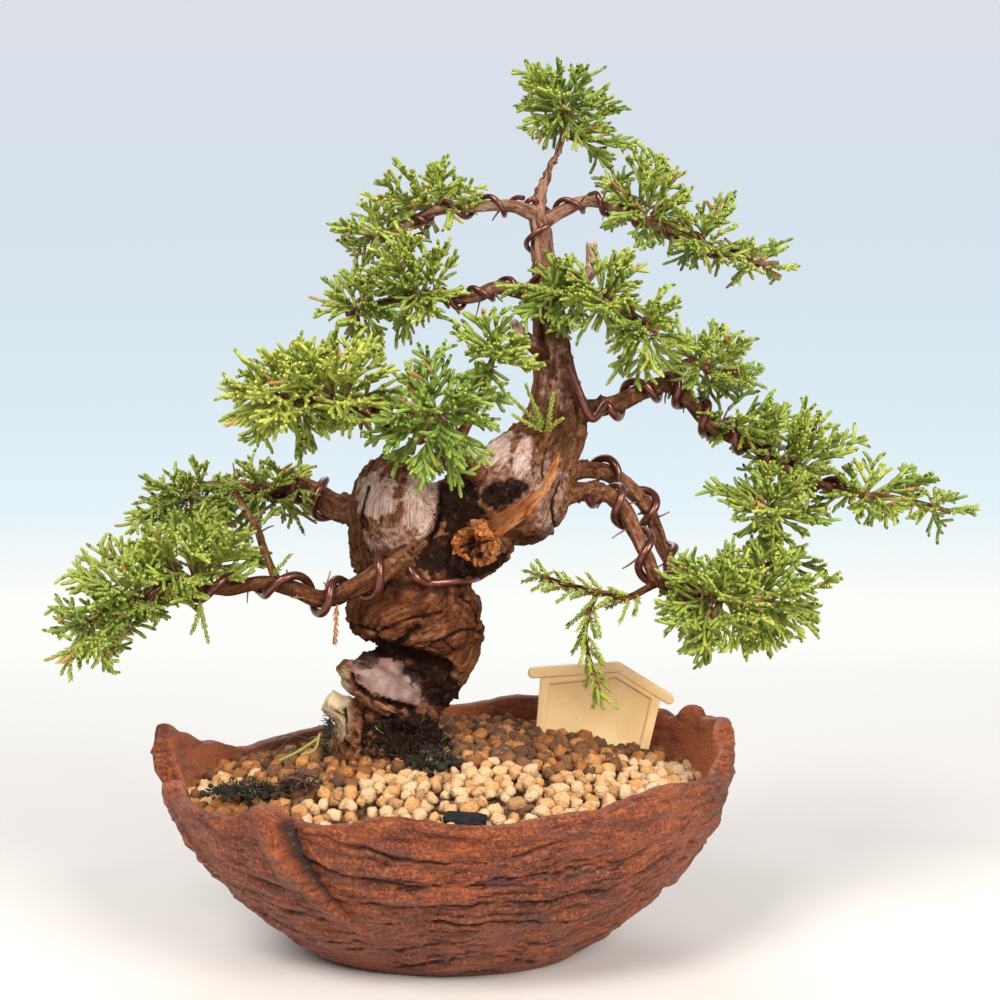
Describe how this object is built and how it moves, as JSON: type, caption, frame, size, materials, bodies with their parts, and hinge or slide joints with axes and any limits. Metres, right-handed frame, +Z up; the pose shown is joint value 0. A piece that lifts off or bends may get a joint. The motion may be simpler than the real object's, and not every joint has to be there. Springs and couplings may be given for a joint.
{
  "type": "bonsai tree in a pot",
  "caption": "Wired juniper bonsai with a thick twisted trunk and leafy pads, standing in a low oval hand-shaped clay pot with grit and a blank plant label.",
  "frame": {"origin": "centre of the pot's flat foot, on the surface that it stands on", "axes": "+Z up along the tree, +X to the right along the pot's length, -Y out of the pot's low front"},
  "size_m": [0.3062, 0.1516, 0.295],
  "materials": {
    "pot_clay": "satin fired clay",
    "drain_mesh_plastic": "matte",
    "soil": "granular",
    "pale_grit": "granular",
    "brown_grit": "granular",
    "bark": "rough flaking bark",
    "training_wire": "anodised satin",
    "juniper_foliage": "soft waxy leaf",
    "dark_moss": "fibrous",
    "charcoal": "matte",
    "label_plastic": "satin"
  },
  "bodies": {
    "root": {"brown_grit": "brown_grit", "charcoal_chip": "charcoal", "drain_mesh_left": "drain_mesh_plastic", "drain_mesh_right": "drain_mesh_plastic", "foliage_apex": "juniper_foliage", "foliage_centre": "juniper_foliage", "foliage_front": "juniper_foliage", "foliage_front_left": "juniper_foliage", "foliage_front_riser": "juniper_foliage", "foliage_lower_left": "juniper_foliage", "foliage_right_hang": "juniper_foliage", "foliage_right_inner": "juniper_foliage", "foliage_right_low": "juniper_foliage", "foliage_right_low_upper": "juniper_foliage", "foliage_right_mid": "juniper_foliage", "foliage_right_outer": "juniper_foliage", "foliage_top_left": "juniper_foliage", "foliage_top_right": "juniper_foliage", "foliage_upper_left": "juniper_foliage", "foliage_upper_left_low": "juniper_foliage", "moss_at_trunk": "dark_moss", "moss_front_left": "dark_moss", "pale_grit": "pale_grit", "plant_label": "label_plastic", "pot": "pot_clay", "pot_foot_plate": "pot_clay", "soil_bed": "soil", "trunk_and_branches": "bark", "wire_centre": "training_wire", "wire_front": "training_wire", "wire_lower_left": "training_wire", "wire_right_low_back": "training_wire", "wire_right_low_front": "training_wire", "wire_right_mid": "training_wire", "wire_top_left": "training_wire", "wire_top_right": "training_wire", "wire_upper_left": "training_wire", "wire_upper_left_low": "training_wire"}
  },
  "joints": []
}
